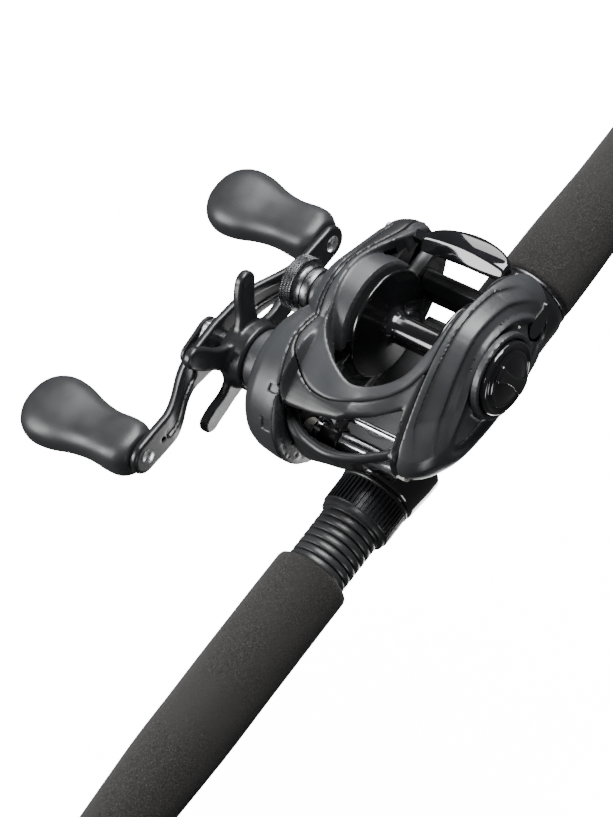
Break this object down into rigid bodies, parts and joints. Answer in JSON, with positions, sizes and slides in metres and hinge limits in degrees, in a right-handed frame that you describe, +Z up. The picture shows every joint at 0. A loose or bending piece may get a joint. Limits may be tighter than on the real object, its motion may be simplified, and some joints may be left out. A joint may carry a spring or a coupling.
{
  "type": "baitcasting fishing rod and reel",
  "caption": "Casting rod with foam grips and a low-profile baitcasting reel: crank handle, star drag, geared spool, level wind, thumb bar clutch and magnetic brake dial.",
  "frame": {"origin": "centre of the butt cap's flat end face, on the rod's axis", "axes": "+X along the rod towards the tip, +Z up through the reel that sits on top of the rod, +Y to the angler's left, so the crank handle is on the -Y side"},
  "size_m": [1.83, 0.1308, 0.0793],
  "materials": {
    "blank_carbon": "gloss clear coat over dark carbon",
    "foam_grip": "fine-grained closed-cell foam",
    "butt_rubber": "matt moulded rubber",
    "seat_gloss": "gloss black",
    "trim_ring": "dark satin anodised",
    "guide_steel": "dark polished wire",
    "guide_ceramic": "polished ceramic",
    "thread_wrap": "dark thread under clear epoxy",
    "frame_graphite": "satin graphite-filled nylon",
    "shell_satin": "satin dark grey",
    "inner_plastic": "moulded black",
    "gloss_black": "piano black",
    "spool_alloy": "black anodised, polished",
    "bright_steel": "bright turned",
    "chrome_nut": "polished",
    "brass_gear": "machined",
    "cog_plastic": "moulded acetal",
    "drag_fibre": "pressed fibre",
    "magnet": "nickel plated",
    "handle_alloy": "satin black anodised",
    "knob_grip": "matt rubberised"
  },
  "bodies": {
    "rod_and_frame": {"rod_blank": "blank_carbon", "butt_cap": "butt_rubber", "rear_grip": "foam_grip", "seat_end_ring": "trim_ring", "reel_seat": "seat_gloss", "fore_grip": "foam_grip", "winding_check": "trim_ring", "guide_frames": "guide_steel", "guide_rings": "guide_ceramic", "guide_wraps": "thread_wrap", "tip_top": "guide_steel", "tip_ring": "guide_ceramic", "reel_frame": "frame_graphite", "reel_foot": "bright_steel", "foot_screws": "bright_steel", "top_cover": "shell_satin", "gear_side_cover": "shell_satin", "cover_screws": "bright_steel", "palm_side_plate": "shell_satin", "palm_bearing_plate": "inner_plastic", "gear_side_bearings": "bright_steel", "palm_bearing": "bright_steel", "yoke_springs": "bright_steel", "roller_clutch": "bright_steel", "worm_guard": "bright_steel", "worm_bushings": "cog_plastic", "guide_rod": "bright_steel"},
    "front_hood": {"sliding_hood": "seat_gloss"},
    "hood_nut": {"lock_nut": "seat_gloss"},
    "spool_body": {"spool": "spool_alloy", "spool_shaft": "bright_steel", "shaft_pin": "bright_steel"},
    "yoke": {"pinion_yoke": "inner_plastic"},
    "pinion_gear": {"pinion": "brass_gear"},
    "cam": {"clutch_cam": "inner_plastic"},
    "thumb_button": {"thumb_bar": "gloss_black"},
    "crank": {"handle_arm": "handle_alloy", "handle_nut": "chrome_nut", "nut_retainer": "inner_plastic", "knob_spindles": "chrome_nut", "drive_shaft": "bright_steel", "main_gear": "brass_gear", "drag_washers": "drag_fibre", "clutch_sleeve": "inner_plastic", "ratchet_wheel": "bright_steel", "drive_cog": "cog_plastic"},
    "drag_star": {"star_drag": "handle_alloy"},
    "rear_knob": {"knob_rear": "knob_grip"},
    "front_knob": {"knob_front": "knob_grip"},
    "worm": {"worm_shaft": "bright_steel", "worm_cog": "cog_plastic"},
    "carriage": {"line_guide": "inner_plastic", "line_guide_eye": "guide_ceramic", "pawl_cap": "bright_steel"},
    "tension_knob": {"tension_cap": "gloss_black", "tension_shims": "cog_plastic"},
    "brake_knob": {"brake_dial": "gloss_black"},
    "magnets": {"magnet_carrier": "inner_plastic", "brake_magnets": "magnet"},
    "plate_lever": {"plate_lock_lever": "gloss_black"}
  },
  "joints": [
    {"name": "handle_turn", "type": "hinge", "parent": "rod_and_frame", "child": "crank", "pos_m": [0.3143, 0, 0.025], "axis": [0, 1, 0], "continuous": true},
    {"name": "star_turn", "type": "hinge", "parent": "crank", "child": "drag_star", "pos_m": [0.3143, 0, 0.025], "axis": [0, 1, 0], "range_deg": [-60, 240]},
    {"name": "knob_rear_spin", "type": "hinge", "parent": "crank", "child": "rear_knob", "pos_m": [0.26852, 0, 0.02251], "axis": [0, 1, 0], "continuous": true},
    {"name": "knob_front_spin", "type": "hinge", "parent": "crank", "child": "front_knob", "pos_m": [0.36008, 0, 0.02749], "axis": [0, 1, 0], "continuous": true},
    {"name": "spool_spin", "type": "hinge", "parent": "rod_and_frame", "child": "spool_body", "pos_m": [0.28998, 0, 0.03301], "axis": [0, 1, 0], "continuous": true},
    {"name": "yoke_slide", "type": "slide", "parent": "rod_and_frame", "child": "yoke", "axis": [0, -1, 0], "range_m": [0, 0.0015], "deforming": ["yoke_springs"]},
    {"name": "pinion_spin", "type": "hinge", "parent": "yoke", "child": "pinion_gear", "pos_m": [0.28998, 0, 0.03301], "axis": [0, 1, 0], "continuous": true},
    {"name": "worm_spin", "type": "hinge", "parent": "rod_and_frame", "child": "worm", "pos_m": [0.32625, 0, 0.02395], "axis": [0, 1, 0], "continuous": true},
    {"name": "thumb_press", "type": "slide", "parent": "rod_and_frame", "child": "thumb_button", "axis": [0, 0, -1], "range_m": [0, 0.004]},
    {"name": "clutch_cam_turn", "type": "hinge", "parent": "rod_and_frame", "child": "cam", "pos_m": [0.28998, 0, 0.03301], "axis": [0, 1, 0], "range_deg": [-10.5, 0]},
    {"name": "line_guide_slide", "type": "slide", "parent": "rod_and_frame", "child": "carriage", "axis": [0, 1, 0], "range_m": [0, 0.018]},
    {"name": "tension_cap_turn", "type": "hinge", "parent": "rod_and_frame", "child": "tension_knob", "pos_m": [0.28998, 0, 0.03301], "axis": [0, 1, 0], "range_deg": [-90, 270]},
    {"name": "dial_turn", "type": "hinge", "parent": "rod_and_frame", "child": "brake_knob", "pos_m": [0.28998, 0, 0.03301], "axis": [0, 1, 0], "range_deg": [0, 270]},
    {"name": "magnet_slide", "type": "slide", "parent": "rod_and_frame", "child": "magnets", "axis": [0, -1, 0], "range_m": [0, 0.0024]},
    {"name": "lock_lever_turn", "type": "hinge", "parent": "rod_and_frame", "child": "plate_lever", "pos_m": [0.2695, 0, 0.03], "axis": [0, 1, 0], "range_deg": [0, 35]},
    {"name": "hood_slide", "type": "slide", "parent": "rod_and_frame", "child": "front_hood", "axis": [1, 0, 0], "range_m": [0, 0.014]},
    {"name": "nut_turn", "type": "hinge", "parent": "front_hood", "child": "hood_nut", "pos_m": [0.29, 0, 0], "axis": [1, 0, 0], "range_deg": [0, 1943]}
  ],
  "couplings": [
    {"joint": "spool_spin", "follows": "handle_turn", "ratio": -5.4},
    {"joint": "pinion_spin", "follows": "handle_turn", "ratio": -5.4},
    {"joint": "worm_spin", "follows": "handle_turn", "ratio": -2},
    {"joint": "clutch_cam_turn", "follows": "thumb_press", "rad_per_m": -45.45},
    {"joint": "yoke_slide", "follows": "thumb_press", "ratio": 0.375},
    {"joint": "magnet_slide", "follows": "dial_turn", "m_per_rad": 0.000509},
    {"joint": "nut_turn", "follows": "hood_slide", "rad_per_m": 2416.6}
  ]
}
